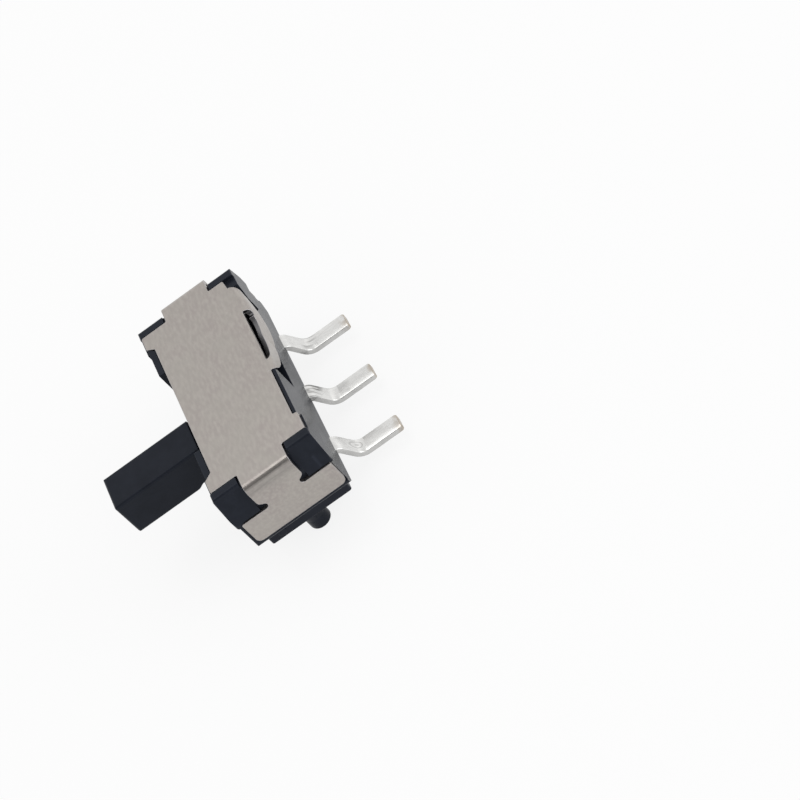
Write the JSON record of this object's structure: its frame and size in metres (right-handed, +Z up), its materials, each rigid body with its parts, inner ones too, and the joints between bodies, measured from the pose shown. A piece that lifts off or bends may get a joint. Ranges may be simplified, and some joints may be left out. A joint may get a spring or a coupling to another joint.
{
  "type": "slide switch",
  "caption": "Miniature surface-mount slide switch with a side lever, a folded metal cover, gull-wing leads and locating pegs.",
  "frame": {"origin": "on the board's top face, midway between the two locating pegs", "axes": "+Z up from the board through the cover, +X along the body towards the end where the lever rests, +Y across the body towards the leads"},
  "size_m": [0.0088, 0.0085, 0.0039],
  "materials": {
    "housing_plastic": "satin black moulding",
    "slider_plastic": "satin black moulding",
    "cover_metal": "satin plated sheet",
    "terminal_metal": "silver plated",
    "contact_metal": "silver plated spring strip"
  },
  "bodies": {
    "base": {"housing": "housing_plastic", "cover": "cover_metal", "terminal_far": "terminal_metal", "terminal_common": "terminal_metal", "terminal_near": "terminal_metal"},
    "slide": {"slider": "slider_plastic", "moving_contact": "contact_metal"}
  },
  "joints": [
    {"name": "lever_slide", "type": "slide", "parent": "base", "child": "slide", "axis": [1, 0, 0], "range_m": [-0.0021, 0]}
  ]
}
